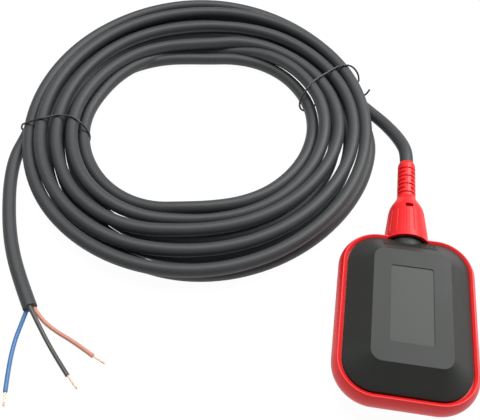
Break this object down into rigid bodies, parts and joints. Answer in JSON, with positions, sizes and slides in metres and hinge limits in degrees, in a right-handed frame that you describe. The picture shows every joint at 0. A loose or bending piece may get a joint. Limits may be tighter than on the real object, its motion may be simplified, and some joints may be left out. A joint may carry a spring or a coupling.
{
  "type": "float level switch",
  "caption": "Flat black and red float level switch with a cable gland and bend relief on its neck, a tied coil of cable and three bared cores at the cable's end.",
  "frame": {"origin": "centre of the float's rear platform, on the face that it lies on", "axes": "+Z out of the front face with the label recess, +Y along the float towards its cable neck, +X to the right"},
  "size_m": [0.3251, 0.3673, 0.0415],
  "materials": {
    "shell_plastic": "satin",
    "red_plastic": "satin",
    "capsule_plastic": "matte",
    "switch_plastic": "matte",
    "plunger_plastic": "satin",
    "steel": "satin",
    "brass": "satin",
    "copper": "satin",
    "cable_rubber": "matte",
    "seal_rubber": "matte",
    "core_blue": "satin",
    "core_black": "satin",
    "core_brown": "satin",
    "tie_plastic": "satin"
  },
  "bodies": {
    "float_body": {"front_shell": "shell_plastic", "rear_shell": "shell_plastic", "bumper_frame": "red_plastic", "gland_body": "shell_plastic", "gland_seal": "seal_rubber", "gland_washer": "capsule_plastic", "gland_nut": "red_plastic", "switch_chassis": "capsule_plastic", "capsule_lid": "capsule_plastic", "capsule_screws": "steel", "lever_pin": "steel", "switch_case": "switch_plastic", "switch_cover": "switch_plastic", "switch_screws": "steel", "terminal_common": "brass", "terminal_open": "brass", "terminal_closed": "brass", "cable_clamp": "capsule_plastic", "clamp_screws": "steel", "cable_entry": "cable_rubber", "cable_coil": "cable_rubber", "cable_lead": "cable_rubber", "cable_tail": "cable_rubber", "wire_closed": "core_blue", "wire_open": "core_brown", "wire_common": "core_black", "core_blue": "core_blue", "core_black": "core_black", "core_brown": "core_brown", "strands_blue": "copper", "strands_black": "copper", "strands_brown": "copper", "coil_tie_left": "tie_plastic", "coil_tie_right": "tie_plastic"},
    "ball": {"steel_ball": "steel"},
    "lever": {"cam_lever": "steel"},
    "plunger": {"switch_plunger": "plunger_plastic"},
    "blade": {"contact_blade": "brass"}
  },
  "joints": [
    {"name": "ball_roll", "type": "slide", "parent": "float_body", "child": "ball", "axis": [0, 1, 0], "range_m": [0, 0.022]},
    {"name": "lever_swing", "type": "hinge", "parent": "float_body", "child": "lever", "pos_m": [-0.0044, -0.0307, 0.0183], "axis": [0, 0, 1], "range_deg": [-5.5, 0]},
    {"name": "plunger_press", "type": "slide", "parent": "float_body", "child": "plunger", "axis": [1, 0, 0], "range_m": [0, 0.00106]},
    {"name": "blade_swing", "type": "hinge", "parent": "float_body", "child": "blade", "pos_m": [0.005, -0.0241, 0.0183], "axis": [0, 0, 1], "range_deg": [-13.73, 0]}
  ],
  "couplings": [
    {"joint": "lever_swing", "follows": "ball_roll", "rad_per_m": -4.3632},
    {"joint": "plunger_press", "follows": "ball_roll", "ratio": 0.04813},
    {"joint": "blade_swing", "follows": "ball_roll", "rad_per_m": -10.889}
  ]
}
